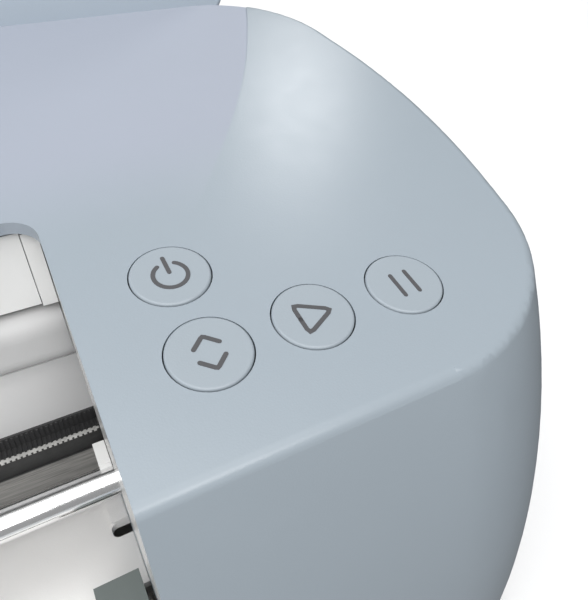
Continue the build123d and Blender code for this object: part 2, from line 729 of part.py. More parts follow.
def lid_outline(gap):
    """Half plan outline of the closed lid, from the rear centre round to the front centre."""
    side = crease_line(gap)[1:-1]
    front_x = OPEN_X - 1.5
    rear = [(0, LID_REAR_Y), (250.0, LID_REAR_Y)]
    return rear + side + [(196.6, -17.5), (front_x, -17.5), (front_x, LID_FRONT_Y), (0, LID_FRONT_Y)]


def opened_lid(piece):
    """Swing a lid piece from its closed place to the open rest position."""
    return piece.rotate(Axis((0, LID_AXIS_Y, LID_AXIS_Z), (1, 0, 0)), -LID_OPEN_DEG)


def lid_layer(low, high):
    """Two cutting planes parallel to the landing recess, at heights above it."""
    rise = 1 / math.cos(math.radians(SLOPE_DEG - RECESS_DEG))
    base = top_z(OPEN_REAR_Y)
    tilt = SLOPE_DEG - RECESS_DEG
    return [slope_plane(OPEN_REAR_Y, base + offset * rise, tilt) for offset in (low, high)]


def make_lid():
    """Lid shell, inner panel, hinge arms, pins and the brackets on the casing."""
    low, high = lid_layer(LID_GAP, LID_GAP + LID_THICK)
    with BuildPart() as shell:
        with BuildSketch(Plane.XY.offset(90)):
            with BuildLine():
                bends = [9.0, 32.0, CREASE_RADIUS, CREASE_RADIUS, 18.0, 19.0, 3.0]
                FilletPolyline(*lid_outline(0.8), radius=bends)
                Line((0, LID_FRONT_Y), (0, LID_REAR_Y))
            make_face()
            mirror(about=Plane.YZ)
        extrude(amount=90)
        split(bisect_by=low, keep=Keep.TOP)
        split(bisect_by=high, keep=Keep.BOTTOM)
        fillet(shell.faces().sort_by(Axis.Z)[-1].edges(), 1.2)
        with BuildSketch(X_PLANE.offset(-OPEN_X + 1.5)):
            with BuildLine():
                plate = recess_z(LID_FRONT_Y) + LID_GAP
                lip = [(-75.2, plate + 2), (-72.8, plate + 2), (-75.4, 104.6), (-78.0, 104.6)]
                Polyline(*lip, close=True)
            make_face()
        extrude(amount=2 * OPEN_X - 3)
    save(opened_lid(shell.part), "lid_shell")
    make_lid_liner()
    make_lid_hinge()


def make_lid_liner():
    """Inner panel of the lid, which drops into the opening when the lid is shut."""
    low, high = lid_layer(LID_GAP - 2.4, LID_GAP)
    with BuildPart() as liner:
        block((-158, 158), (-70, OPEN_REAR_Y - 4), (90, 160))
        fillet(liner.edges().filter_by(Axis.Z), 8.0)
        split(bisect_by=low, keep=Keep.TOP)
        split(bisect_by=high, keep=Keep.BOTTOM)
    save(opened_lid(liner.part), "lid_liner")


def make_lid_hinge():
    """Arms on the lid, and the steel pins of the lid's and the door's hinges."""
    underside = lid_layer(LID_GAP, LID_GAP)[0]
    with BuildPart() as arms:
        for side in (-1, 1):
            arm = span(side, 140, 160)
            block(arm, (LID_AXIS_Y - 2.2, LID_AXIS_Y + 2.2), (LID_AXIS_Z, LID_AXIS_Z + 5))
            rod_x(arm, LID_AXIS_Y, LID_AXIS_Z, LID_BARREL_R)
            rod_x(arm, LID_AXIS_Y, LID_AXIS_Z, HINGE_PIN_R + RUNNING, Mode.SUBTRACT)
        split(bisect_by=underside, keep=Keep.BOTTOM)
    save(opened_lid(arms.part), "lid_hinge_arms")
    with BuildPart() as pins:
        for side in (-1, 1):
            rod_x(span(side, 133.5, 166.5), LID_AXIS_Y, LID_AXIS_Z, HINGE_PIN_R)
            rod_x(span(side, 151, 169.5), DOOR_AXIS_Y, DOOR_AXIS_Z, HINGE_PIN_R)
    save(pins.part, "hinge_pins")


def make_hinge_brackets(blank):
    """Ears on the casing's rear wall that hold the lid's pins."""
    with BuildPart() as brackets:
        for side in (-1, 1):
            for low in (133.6, 160.4):
                ear = span(side, low, low + 6)
                block(ear, (78, LID_AXIS_Y), (LID_AXIS_Z - LID_EAR_R, LID_AXIS_Z + 1.0))
                rod_x(ear, LID_AXIS_Y, LID_AXIS_Z, LID_EAR_R)
                block(ear, (78, 82), (132, LID_AXIS_Z))
            block(span(side, 133.6, 166.4), (78, 82), (128, LID_AXIS_Z - 5))
        add(blank, mode=Mode.SUBTRACT)
        rod_x((-170, 170), LID_AXIS_Y, LID_AXIS_Z, HINGE_PIN_R, Mode.SUBTRACT)
    save(brackets.part, "lid_hinge_brackets")


def opened_door(piece):
    """Swing a door piece from its closed place down to the open rest position."""
    return piece.rotate(Axis((0, DOOR_AXIS_Y, DOOR_AXIS_Z), (1, 0, 0)), 90)


def door_profile(low, high, outer, inner):
    """Closed outline in Y and Z that follows the curved front between two insets."""
    middle = (low + high) / 2
    ThreePointArc(*[(front_y(z, outer), z) for z in (low, middle, high)])
    Line((front_y(high, outer), high), (front_y(high, inner), high))
    ThreePointArc(*[(front_y(z, inner), z) for z in (high, middle, low)])
    Line((front_y(low, inner), low), (front_y(low, outer), low))


def make_door():
    """Front door skin with its hinge lugs, then the tray and the flap inside it."""
    with BuildPart() as skin:
        with BuildSketch(X_PLANE.offset(-DOOR_X)):
            with BuildLine():
                door_profile(DOOR_LOW_Z, DOOR_HIGH_Z, 0.0, WALL)
            make_face()
        extrude(amount=2 * DOOR_X)
        fillet(skin.edges().filter_by(Axis.X).group_by(Axis.Y)[0], 0.8)
        for side in (-1, 1):
            lug = span(side, 150, 163)
            block(lug, (front_y(DOOR_LOW_Z) + 0.8, DOOR_AXIS_Y), (DOOR_AXIS_Z - 1, DOOR_LOW_Z + 5))
            rod_x(lug, DOOR_AXIS_Y, DOOR_AXIS_Z, 3.5)
            rod_x(span(side, 149, 164), DOOR_AXIS_Y, DOOR_AXIS_Z, HINGE_PIN_R + RUNNING, Mode.SUBTRACT)
    save(opened_door(skin.part), "door_shell")
    make_door_tray()


def make_door_tray():
    """Storage tray that fills the inside of the door, with two wells and a flap."""
    low, high = DOOR_LOW_Z + 10, DOOR_HIGH_Z - 6
    back = TRAY_BACK_Y
    skin = WALL + 0.3
    with BuildPart() as tray:
        with BuildSketch(X_PLANE.offset(-157)):
            with BuildLine():
                middle = (low + high) / 2
                ThreePointArc(*[(front_y(z, skin), z) for z in (low, middle, high)])
                Polyline((front_y(high, skin), high), (back, high), (back, low), (front_y(low, skin), low))
            make_face()
        extrude(amount=314)
        for x in ((-153, -2), (2, 153)):
            block(x, (WELL_FLOOR_Y, -70), WELL_Z, Mode.SUBTRACT)
    with BuildPart() as corner_cut:
        block((-170, 170), (-95, -60), (low - 5, high + 5))
        block((-157, 157), (-95, -60), (low, high), Mode.SUBTRACT)
    save(opened_door(tray.part - corner_cut.part), "door_tray")
    with BuildPart() as flap:
        block((-152.4, -2.6), (-77.6, -75.8), (WELL_Z[0] + 0.6, WELL_Z[1] - 0.6))
        fillet(flap.edges().filter_by(Axis.Y), 3.0)
        rod_x((-148, -7), -77.2, WELL_Z[0] + 2.0, 1.2)
        block((-84, -70), (-75.8, -74.6), (WELL_Z[1] - 4, WELL_Z[1] - 1))
    save(opened_door(flap.part), "compartment_flap")


def make_carriage():
    """Carriage body, rod bushes, belt clip, cover, lift motor and lift guide rods."""
    left, right = CARRIAGE_X - 32, CARRIAGE_X + 32
    with BuildPart() as body:
        block((left, right), (-31, -13), (53, 110))
        fillet(body.edges().filter_by(Axis.X), 2.0)
        block((left, right), (-46, -31), (50, 52.6))
        block((left, right), (-46, -31), (88, 91))
        block((left, right), (-31, -13), (50, 55))
        rod_x((left - 1, right + 1), ROD_Y, ROD_Z, ROD_R + 1, Mode.SUBTRACT)
        for x in ((left - 1, left + 14), (right - 14, right + 1)):
            rod_x(x, ROD_Y, ROD_Z, 5.5, Mode.SUBTRACT)
        for x in (-LIFT_ROD_X, LIFT_ROD_X):
            rod_z(CARRIAGE_X + x, LIFT_ROD_Y, (49, 92), LIFT_ROD_R, Mode.SUBTRACT)
        block((left + 6, right - 6), (-31.5, -27), (70, 86), Mode.SUBTRACT)
    save(body.part, "carriage_body")
    with BuildPart() as bushes:
        for x in ((left, left + 14), (right - 14, right)):
            rod_x(x, ROD_Y, ROD_Z, 5.5)
            rod_x(x, ROD_Y, ROD_Z, ROD_R + RUNNING, Mode.SUBTRACT)
    save(bushes.part, "rod_bushes")
    with BuildPart() as guide:
        block((left + 6, right - 6), (-13, BEAM_FRONT_Y - 0.4), (94, 104))
        fillet(guide.edges().filter_by(Axis.Z).group_by(Axis.Y)[-1], 1.5)
    save(guide.part, "carriage_guide_pad")
    with BuildPart() as clip:
        block((CARRIAGE_X - 8, CARRIAGE_X + 8), (-13, -5.0), (65.4, 68))
        block((CARRIAGE_X - 8, CARRIAGE_X + 8), (-9.6, -8.3), (63, 65.4))
        block((CARRIAGE_X - 8, CARRIAGE_X + 8), (-6.1, -5.0), (60, 65.4))
    save(clip.part, "belt_clip")
    with BuildPart() as rods:
        for x in (-LIFT_ROD_X, LIFT_ROD_X):
            rod_z(CARRIAGE_X + x, LIFT_ROD_Y, (50, 91), LIFT_ROD_R)
    save(rods.part, "lift_guide_rods")
    make_carriage_cover()


def make_carriage_cover():
    """Rounded hood over the carriage, with the lift motor under it."""
    with BuildPart() as inside:
        block((CARRIAGE_X - 32.4, CARRIAGE_X + 32.4), (-62.2, -30), (80, 110.4))
    with BuildPart() as cover:
        block((CARRIAGE_X - 34.4, CARRIAGE_X + 34.4), (-64.2, -31.2), (87, 112.4))
        front = cover.edges().filter_by(Axis.Z).group_by(Axis.Y)[0]
        top = cover.faces().sort_by(Axis.Z)[-1].edges().sort_by(Axis.Y)[:-1]
        fillet(front + top, 6.0)
        add(inside.part, mode=Mode.SUBTRACT)
        block((CARRIAGE_X - 40, CARRIAGE_X + 40), (-31.2, -20), (80, 120), Mode.SUBTRACT)
    save(cover.part, "carriage_cover")
    with BuildPart() as motor:
        block((CARRIAGE_X - 12, CARRIAGE_X + 12), (-54, -31.2), (91, 108))
        fillet(motor.edges().filter_by(Axis.Y), 4.0)
    save(motor.part, "lift_motor")


def make_tool_lift():
    """Tool head that rides on the lift rods: body, blade holder, pen sleeve and clamps."""
    left, right = CARRIAGE_X - 29, CARRIAGE_X + 29
    with BuildPart() as lift:
        block((left, right), (TOOL_Y, -33), (60, 84))
        fillet(lift.edges().filter_by(Axis.Z).group_by(Axis.Y)[-1], 2.0)
        for x in (-LIFT_ROD_X, LIFT_ROD_X):
            rod_z(CARRIAGE_X + x, LIFT_ROD_Y, (50, 90), LIFT_ROD_R + RUNNING, Mode.SUBTRACT)
        for x in (-TOOL_X, TOOL_X):
            rod_z(CARRIAGE_X + x, TOOL_Y, (50, 90), TOOL_R, Mode.SUBTRACT)
        for x in (-1, 1):
            pin = span(x, CLAMP_PIN_X - 3.4, CLAMP_PIN_X + 4)
            block((pin[0] + CARRIAGE_X, pin[1] + CARRIAGE_X), (-58, -50.4), (64.6, 79.4), Mode.SUBTRACT)
            rod_z(CARRIAGE_X + x * CLAMP_PIN_X, TOOL_Y, (58, 90), CLAMP_PIN_R, Mode.SUBTRACT)
    save(lift.part, "tool_lift_body")
    with BuildPart() as pins:
        for x in (-CLAMP_PIN_X, CLAMP_PIN_X):
            rod_z(CARRIAGE_X + x, TOOL_Y, (61, 83), CLAMP_PIN_R)
    save(pins.part, "clamp_pins")
    make_tools()
    for side, name in ((-1, "clamp_a_lever"), (1, "clamp_b_lever")):
        make_clamp(side, name)
    make_coil("lift_spring", (CARRIAGE_X, LIFT_ROD_Y, 52.8), (0, 0, 1), 7.0, 2.8, 0.35, 1.6)


def make_tools():
    """Blade holder in the right-hand clamp and the empty pen sleeve in the left-hand one."""
    with BuildPart() as holder:
        with BuildSketch(Plane.XZ.offset(-TOOL_Y)):
            with BuildLine():
                Polyline(
                    (0, BLADE_TIP_Z), (0.5, BLADE_TIP_Z + 1.5), (2.4, BLADE_TIP_Z + 2), (4.6, 52),
                    (TOOL_R, 54), (TOOL_R, 84.2), (7.4, 84.2), (7.4, 86.8), (0, 86.8), close=True,
                )
            make_face()
        revolve(axis=Axis((0, TOOL_Y, 0), (0, 0, 1)))
    save(holder.part.moved(Location((CARRIAGE_X + TOOL_X, 0, 0))), "blade_holder")
    with BuildPart() as sleeve:
        rod_z(CARRIAGE_X - TOOL_X, TOOL_Y, (58, 84.2), TOOL_R)
        rod_z(CARRIAGE_X - TOOL_X, TOOL_Y, (84.2, 86), 7.4)
        rod_z(CARRIAGE_X - TOOL_X, TOOL_Y, (50, 90), 4.6, Mode.SUBTRACT)
    save(sleeve.part, "pen_sleeve")


def make_clamp(side, name):
    """Hinged front half of a tool clamp, with a finger tab near the middle."""
    with BuildPart() as clamp:
        inner, outer = span(side, 3.4, CLAMP_PIN_X)
        x = (CARRIAGE_X + inner, CARRIAGE_X + outer)
        block(x, (-64, TOOL_Y - 0.4), (65, 79))
        fillet(clamp.edges().filter_by(Axis.Z).group_by(Axis.Y)[0], 3.0)
        tab = span(side, 3.4, 8.0)
        block((CARRIAGE_X + tab[0], CARRIAGE_X + tab[1]), (-69, -63), (68, 76))
        rod_z(CARRIAGE_X + side * CLAMP_PIN_X, TOOL_Y, (65, 79), 3.0)
        rod_z(CARRIAGE_X + side * TOOL_X, TOOL_Y, (60, 84), TOOL_R + 0.3, Mode.SUBTRACT)
        rod_z(CARRIAGE_X + side * CLAMP_PIN_X, TOOL_Y, (60, 84), CLAMP_PIN_R + RUNNING, Mode.SUBTRACT)
    save(clamp.part, name)


def main():
    os.makedirs("parts", exist_ok=True)
    blank = casing_blank()
    make_upper_casing(blank)
    make_base_pan()
    make_feet()
    make_casing_screws()
    make_side_plates()
    make_rear_liner()
    make_crossbar()
    make_rail_beam()
    make_belt_channel()
    make_belt()
    make_carriage_drive()
    make_guide_rod()
    make_rod_brackets()
    make_platen()
    make_cutting_strip()
    make_feed_drive()
    make_pinch_units()
    make_electronics()
    make_buttons()
    make_tool_cup()
    make_lid()
    make_hinge_brackets(blank)
    make_door()
    make_carriage()
    make_tool_lift()


main()
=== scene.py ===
import json
import math

import bmesh
import bpy
from mathutils import Matrix, Vector

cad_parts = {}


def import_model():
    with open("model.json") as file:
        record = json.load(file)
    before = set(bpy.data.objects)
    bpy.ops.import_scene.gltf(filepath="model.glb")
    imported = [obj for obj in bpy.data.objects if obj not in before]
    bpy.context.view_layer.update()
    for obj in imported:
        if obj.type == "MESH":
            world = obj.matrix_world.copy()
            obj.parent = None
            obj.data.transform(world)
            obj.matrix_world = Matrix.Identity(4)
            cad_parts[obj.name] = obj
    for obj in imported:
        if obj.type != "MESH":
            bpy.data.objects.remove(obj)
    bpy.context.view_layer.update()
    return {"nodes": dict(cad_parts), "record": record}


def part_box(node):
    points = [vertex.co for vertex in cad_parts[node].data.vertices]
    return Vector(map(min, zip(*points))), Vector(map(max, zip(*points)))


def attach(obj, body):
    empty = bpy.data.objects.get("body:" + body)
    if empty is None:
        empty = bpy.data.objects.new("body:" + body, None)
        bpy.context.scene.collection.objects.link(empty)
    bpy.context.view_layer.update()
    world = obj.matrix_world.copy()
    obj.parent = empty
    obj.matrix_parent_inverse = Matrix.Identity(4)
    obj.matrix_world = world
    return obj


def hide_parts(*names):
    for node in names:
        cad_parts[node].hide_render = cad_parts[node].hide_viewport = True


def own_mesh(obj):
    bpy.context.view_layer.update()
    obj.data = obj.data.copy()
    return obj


# Looks of the desktop vinyl cutter, in metres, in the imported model's frame:
# +X to the user's right, +Y to the back, +Z up, the desk at Z = 0.

MM = 0.001

# Slope of the casing's top, down to the front
SLOPE = math.radians(11.27)

# The crease on the top of each end cap: its front end, how it leans out, its bow, and the
# width over which the paint changes
CREASE_FOOT = (203.5 * MM, 18.5 * MM)
CREASE_LEAN = 0.752
CREASE_BOW = -2.24
CREASE_WIDTH = 1.2 * MM

# Stretch behind the crease's foot over which the sunk field takes on its own paint
FIELD_FADE = (-14 * MM, 22 * MM)

# Noise scales of moulded plastic, in features per metre
GRAIN_SCALE = 2600
SHEEN_SCALE = 160
FLOW_SCALE = 45
SINK_SCALE = 22

# Noise scales of the other materials
BRUSH_SCALE = 3000
PLATING_SCALE = 400
HAZE_SCALE = 900
RUBBER_SCALE = 300
RUBBER_SHEEN_SCALE = 700
PEBBLE_SCALE = 1500
GRIT_SCALE = 1600
TRACK_SCALE = 260
PAPER_SCALE = 3

# Noise stretch of a sheet whose grain is drawn out along X
DRAWN_ALONG_X = (0.04, 1, 1)

# Casing mesh: corners that belong together, slivers to drop, and the angle that stays a sharp edge
WELD = 0.002 * MM
SLIVER = 0.12 * MM
SHARP_ANGLE = math.radians(38)

# Key cap: radius of its flat top, radius of its collar, and the collar's depth under the top
CAP_RADIUS = 7.5 * MM
COLLAR_RADIUS = 8.8 * MM
COLLAR_DEPTH = 4.45 * MM

# Printed signs: how far they rise over the cap and sink into it, and their line in cap radii
ICON_RAISE = 0.12 * MM
ICON_SINK = 0.1 * MM
ICON_LINE = 0.112

# A printed line's bend reaches out no further than its half width over this share
MITRE_LIMIT = 0.4

# Angles of the points that round a printed line's end
END_ANGLES = [math.radians(angle) for angle in (60, 30, 0, -30, -60)]

# Belt teeth and channel ribs share one pitch
BELT_PITCH = 1.3 * MM

# Cord in the belt: reaches back from the belt's front face and up from its top edge
CORD_DEEP = (0.05 * MM, 0.95 * MM)
CORD_HIGH = (-0.1 * MM, 0.15 * MM)

# Belt teeth: reaches from the tooth's middle, the belt's front face and its top edge
TOOTH_WIDE = (-0.4 * MM, 0.4 * MM)
TOOTH_DEEP = (-0.25 * MM, 1.3 * MM)
TOOTH_HIGH = (-0.35 * MM, 0.1 * MM)

# Channel behind the belt: thickness of its floor and of its rear wall
CHANNEL_FLOOR = 0.5 * MM
CHANNEL_WALL = 0.8 * MM

# Channel ribs: reaches from the rib's middle, the floor and the rear wall, how far behind the
# belt's front face they start, and how far under the channel's top they end
RIB_WIDE = (-0.3 * MM, 0.3 * MM)
FLOOR_RIB_HIGH = (-0.1 * MM, 0.25 * MM)
WALL_RIB_DEEP = (-0.3 * MM, 0.1 * MM)
RIB_START = 3.0 * MM
RIB_END = 0.3 * MM

# Share of its width that a tooth's or rib's top edge is eased by
EASE_SHARE = 0.18

# Backdrop: radius and height of each ring of the floor and its upturned rim
FLOOR_PROFILE = [(0.9, 0.0), (2.4, 0.0), (3.4, 0.0), (3.9, 0.07), (4.25, 0.3), (4.4, 0.7), (4.42, 2.6)]
FLOOR_TURNS = 96

# Where the lamp glints: in from the casing's right, back from its front and down from its top,
# and how far off the lamp stands, and in which direction
GLINT_IN = 48 * MM
GLINT_BACK = 128 * MM
GLINT_DOWN = 12 * MM
LAMP_DISTANCE = 1.3
LAMP_TOWARD = (0.452, 0.615, 0.646)

# The camera: its place from the play key's top in radii of the ring that is seen round a key,
# its angles and its lens
RING_RADIUS = 7.8 * MM
CAMERA_REACH = (-5.23, -8.81, 8.50)
CAMERA_DIP = 38.21
CAMERA_TURN = 28.14
CAMERA_LENS = 34.54
CAMERA_SENSOR = 36
CAMERA_NEAR = 5 * MM


# ---------------------------------------------------------------- materials


class Finish:
    """A node material that starts from one Principled shader."""

    def __init__(self, name, roughness, metallic=0.0, coat=0.0, coat_roughness=0.1):
        self.material = bpy.data.materials.new(name)
        self.material.use_nodes = True
        self.nodes = self.material.node_tree.nodes
        self.links = self.material.node_tree.links
        self.shader = self.nodes["Principled BSDF"]
        self.shader.inputs["Roughness"].default_value = roughness
        self.shader.inputs["Metallic"].default_value = metallic
        self.shader.inputs["Coat Weight"].default_value = coat
        self.shader.inputs["Coat Roughness"].default_value = coat_roughness
        self.place = self.nodes.new("ShaderNodeTexCoord").outputs["Object"]

    def node(self, kind, **inputs):
        """New node with some of its inputs set."""
        made = self.nodes.new(kind)
        for key, value in inputs.items():
            made.inputs[key.replace("_", " ")].default_value = value
        return made

    def axes(self):
        """X, Y and Z over the object, as sockets."""
        split = self.nodes.new("ShaderNodeSeparateXYZ")
        self.links.new(self.place, split.inputs["Vector"])
        return [split.outputs[axis] for axis in "XYZ"]

    def noise(self, scale, detail=3.0, stretch=None):
        """Noise over the object, its grain drawn out along an axis when asked."""
        noise = self.node("ShaderNodeTexNoise", Scale=scale, Detail=detail)
        source = self.place
        if stretch:
            mapping = self.nodes.new("ShaderNodeMapping")
            mapping.inputs["Scale"].default_value = stretch
            self.links.new(source, mapping.inputs["Vector"])
            source = mapping.outputs["Vector"]
        self.links.new(source, noise.inputs["Vector"])
        return noise.outputs["Fac"]

    def paint(self, shade):
        """Base colour from a socket."""
        self.links.new(shade, self.shader.inputs["Base Color"])

    def colour(self, fac, low, high):
        """Base colour that wanders between two tones."""
        ramp = self.nodes.new("ShaderNodeValToRGB")
        for element, position, rgb in zip(ramp.color_ramp.elements, (0.3, 0.7), (low, high)):
            element.position = position
            element.color = (*rgb, 1)
        self.links.new(fac, ramp.inputs["Fac"])
        self.paint(ramp.outputs["Color"])
        return ramp.outputs["Color"]

    def rough(self, fac, low, high):
        """Roughness that wanders between two values."""
        spread = self.node("ShaderNodeMapRange", To_Min=low, To_Max=high)
        self.links.new(fac, spread.inputs["Value"])
        self.links.new(spread.outputs["Result"], self.shader.inputs["Roughness"])

    def bump(self, height, distance, strength=1.0):
        """Fine relief from a height, stacked on any relief already there."""
        bump = self.node("ShaderNodeBump", Strength=strength, Distance=distance)
        old = self.shader.inputs["Normal"]
        if old.is_linked:
            self.links.new(old.links[0].from_socket, bump.inputs["Normal"])
        self.links.new(height, bump.inputs["Height"])
        self.links.new(bump.outputs["Normal"], old)

    def maths(self, operation, *values):
        """Result of one step of arithmetic on sockets or numbers."""
        step = self.nodes.new("ShaderNodeMath")
        step.operation = operation
        for slot, value in zip(step.inputs, values):
            if isinstance(value, bpy.types.NodeSocket):
                self.links.new(value, slot)
            else:
                slot.default_value = value
        return step.outputs["Value"]

    def ramp_up(self, value, start, end):
        """Soft step from 0 to 1 while a value goes from start to end."""
        spread = self.node("ShaderNodeMapRange", From_Min=start, From_Max=end)
        spread.interpolation_type = "SMOOTHSTEP"
        self.links.new(value, spread.inputs["Value"])
        return spread.outputs["Result"]

    def blend(self, fac, low, high):
        """Colour that goes from one socket or tone to another."""
        mix = self.nodes.new("ShaderNodeMix")
        mix.data_type = "RGBA"
        self.links.new(fac, mix.inputs["Factor"])
        for key, value in (("A", low), ("B", high)):
            if isinstance(value, bpy.types.NodeSocket):
                self.links.new(value, mix.inputs[key])
            else:
                mix.inputs[key].default_value = (*value, 1)
        return mix.outputs["Result"]


def tone(rgb, share):
    """A colour made lighter or darker by a share."""
    return tuple(min(1.0, channel * (1 + share)) for channel in rgb)


def mould_relief(finish, grain, scale):
    """Spark-eroded grain over the slow unevenness of a moulded wall."""
    finish.bump(finish.noise(scale, 2), grain)
    finish.bump(finish.noise(SINK_SCALE, 1), 0.04 * MM, strength=0.35)


def moulded(name, rgb, roughness, grain=0.02 * MM, scale=GRAIN_SCALE, coat=0.0, spread=0.03):
    """Moulded plastic: fine grain, faint flow marks and uneven sheen."""
    finish = Finish(name, roughness, coat=coat, coat_roughness=0.12)
    finish.colour(finish.noise(FLOW_SCALE), tone(rgb, -spread), tone(rgb, spread))
    finish.rough(finish.noise(SHEEN_SCALE, 4), roughness - 0.05, roughness + 0.06)
    mould_relief(finish, grain, scale)
    return finish.material


def casing_shell(name, rgb, recess_rgb, roughness, recess_roughness):
    """Painted casing, smoother outside the creases of its top than in the sunk field between them."""
    spread = 0.012
    sheen_spread = 0.08
    finish = Finish(name, roughness)
    x, y = finish.axes()[:2]
    back = finish.maths("SUBTRACT", y, CREASE_FOOT[1])
    bow = finish.maths("MULTIPLY_ADD", back, CREASE_BOW, CREASE_LEAN)
    crease = finish.maths("MULTIPLY_ADD", back, bow, CREASE_FOOT[0])
    inward = finish.maths("SUBTRACT", crease, finish.maths("ABSOLUTE", x))
    inside = finish.ramp_up(inward, 0.0, CREASE_WIDTH)
    sunk = finish.maths("MULTIPLY", inside, finish.ramp_up(back, *FIELD_FADE))
    wander = finish.noise(FLOW_SCALE)
    outer = finish.blend(wander, tone(rgb, -spread), tone(rgb, spread))
    field = finish.blend(wander, tone(recess_rgb, -spread), tone(recess_rgb, spread))
    finish.paint(finish.blend(sunk, outer, field))
    sheen = finish.noise(SHEEN_SCALE, 4)
    smooth = finish.maths("MULTIPLY_ADD", sheen, sheen_spread, roughness - sheen_spread / 2)
    matt = finish.maths("MULTIPLY_ADD", sunk, recess_roughness - roughness, smooth)
    finish.links.new(matt, finish.shader.inputs["Roughness"])
    mould_relief(finish, 0.02 * MM, GRAIN_SCALE)
    return finish.material


def brushed(name, rgb, roughness, stretch):
    """Metal with a fine grain, drawn out along the axes whose stretch is under one."""
    finish = Finish(name, roughness, metallic=1.0)
    grain = finish.noise(BRUSH_SCALE, 3, stretch)
    finish.colour(grain, tone(rgb, -0.12), tone(rgb, 0.1))
    finish.rough(grain, roughness - 0.08, roughness + 0.12)
    finish.bump(grain, 0.012 * MM)
    return finish.material


def polished(name, rgb, roughness):
    """Plated or ground steel with the faintest haze."""
    finish = Finish(name, roughness, metallic=1.0)
    finish.colour(finish.noise(PLATING_SCALE), tone(rgb, -0.04), rgb)
    finish.rough(finish.noise(HAZE_SCALE, 3), roughness * 0.6, roughness * 1.6)
    return finish.material


def rubber(name, rgb, roughness=0.75):
    """Matt moulded rubber with a fine pebble."""
    finish = Finish(name, roughness)
    finish.colour(finish.noise(RUBBER_SCALE), tone(rgb, -0.15), tone(rgb, 0.15))
    finish.rough(finish.noise(RUBBER_SHEEN_SCALE), roughness - 0.1, roughness + 0.08)
    finish.bump(finish.noise(PEBBLE_SCALE, 2), 0.04 * MM)
    return finish.material


def knurled(name, rgb):
    """Steel roller with a coarse blasted grit."""
    finish = Finish(name, 0.5, metallic=1.0)
    cells = finish.node("ShaderNodeTexVoronoi", Scale=GRIT_SCALE)
    finish.links.new(finish.place, cells.inputs["Vector"])
    finish.colour(cells.outputs["Distance"], tone(rgb, -0.35), tone(rgb, 0.2))
    finish.bump(cells.outputs["Distance"], 0.25 * MM)
    return finish.material


def folded_beam(name, painted, bare):
    """Folded sheet: painted on its tall back plate, brushed bare on its shelf and lip."""
    finish = Finish(name, 0.4)
    grain = finish.noise(BRUSH_SCALE, 3, DRAWN_ALONG_X)
    height = finish.axes()[2]
    above = finish.maths("GREATER_THAN", height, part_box("belt_channel")[1].z)
    metal = finish.colour(grain, tone(bare, -0.3), tone(bare, 0.3))
    finish.paint(finish.blend(above, metal, painted))
    finish.bump(grain, 0.01 * MM)
    return finish.material


def circuit(name, rgb):
    """Solder mask over copper tracks."""
    finish = Finish(name, 0.3, coat=0.4)
    tracks = finish.node("ShaderNodeTexBrick", Scale=TRACK_SCALE, Mortar_Size=0.03)
    finish.links.new(finish.place, tracks.inputs["Vector"])
    finish.colour(tracks.outputs["Fac"], rgb, tone(rgb, 0.9))
    finish.bump(tracks.outputs["Fac"], 0.03 * MM)
    return finish.material


def make_materials():
    """One material for every slot of the record, and those of the added details."""
    return {
        "casing_blue": casing_shell(
            "casing_blue", (0.320, 0.368, 0.410), (0.345, 0.375, 0.440), 0.30, 0.62
        ),
        "lid_blue": moulded("lid_blue", (0.450, 0.520, 0.600), 0.42, spread=0.012),
        "button_blue": moulded("button_blue", (0.325, 0.370, 0.408), 0.36, spread=0.012),
        "base_white": moulded("base_white", (0.72, 0.72, 0.71), 0.45),
        "white_gloss": moulded("white_gloss", (0.80, 0.80, 0.79), 0.22, 0.006 * MM, coat=0.3),
        "light_grey": moulded("light_grey", (0.52, 0.52, 0.52), 0.42),
        "bed_grey": moulded("bed_grey", (0.84, 0.83, 0.815), 0.42, 0.03 * MM),
        "dark_box": moulded("dark_box", (0.115, 0.135, 0.130), 0.4),
        "black_plastic": moulded("black_plastic", (0.055, 0.055, 0.056), 0.42),
        "carriage_grey": moulded("carriage_grey", (0.07, 0.072, 0.077), 0.45),
        "rubber_black": rubber("rubber_black", (0.025, 0.025, 0.025)),
        "belt": rubber("belt", (0.030, 0.030, 0.030), 0.6),
        "belt_cord": rubber("belt_cord", (0.42, 0.415, 0.40), 0.6),
        "steel_beam": folded_beam("steel_beam", (0.86, 0.86, 0.86), (0.21, 0.205, 0.195)),
        "steel": brushed("steel", (0.55, 0.55, 0.55), 0.3, (1, 1, 0.2)),
        "chrome": polished("chrome", (0.86, 0.86, 0.86), 0.13),
        "motor_black": moulded("motor_black", (0.02, 0.02, 0.022), 0.35, 0.05 * MM, 1800),
        "aluminium": brushed("aluminium", (0.72, 0.72, 0.73), 0.28, (1, 1, 0.1)),
        "bronze": brushed("bronze", (0.50, 0.33, 0.14), 0.4, (1, 1, 1)),
        "gear_white": moulded("gear_white", (0.74, 0.73, 0.68), 0.35, 0.01 * MM),
        "board_green": circuit("board_green", (0.015, 0.10, 0.045)),
        "cup_grey": rubber("cup_grey", (0.16, 0.185, 0.21), 0.65),
        "tray_grey": moulded("tray_grey", (0.60, 0.615, 0.63), 0.45),
        "icon_grey": moulded("icon_grey", (0.075, 0.075, 0.08), 0.6),
        "grit_steel": knurled("grit_steel", (0.42, 0.40, 0.37)),
    }


def dress_nodes(frame, materials):
    """Give every CAD node the material of its slot, and the rollers their grit."""
    for part in frame["record"]["subparts"]:
        dress(frame["nodes"][part["node"]], materials[part["material_slot"]])
    dress(frame["nodes"]["grit_rollers"], materials["grit_steel"])


def dress(piece, material):
    """Put one material on a whole piece."""
    piece.data.materials.clear()
    piece.data.materials.append(material)


# ---------------------------------------------------------------- mesh helpers


def add_object(name, data):
    """New object in the scene that holds the data."""
    made = bpy.data.objects.new(name, data)
    bpy.context.scene.collection.objects.link(made)
    return made


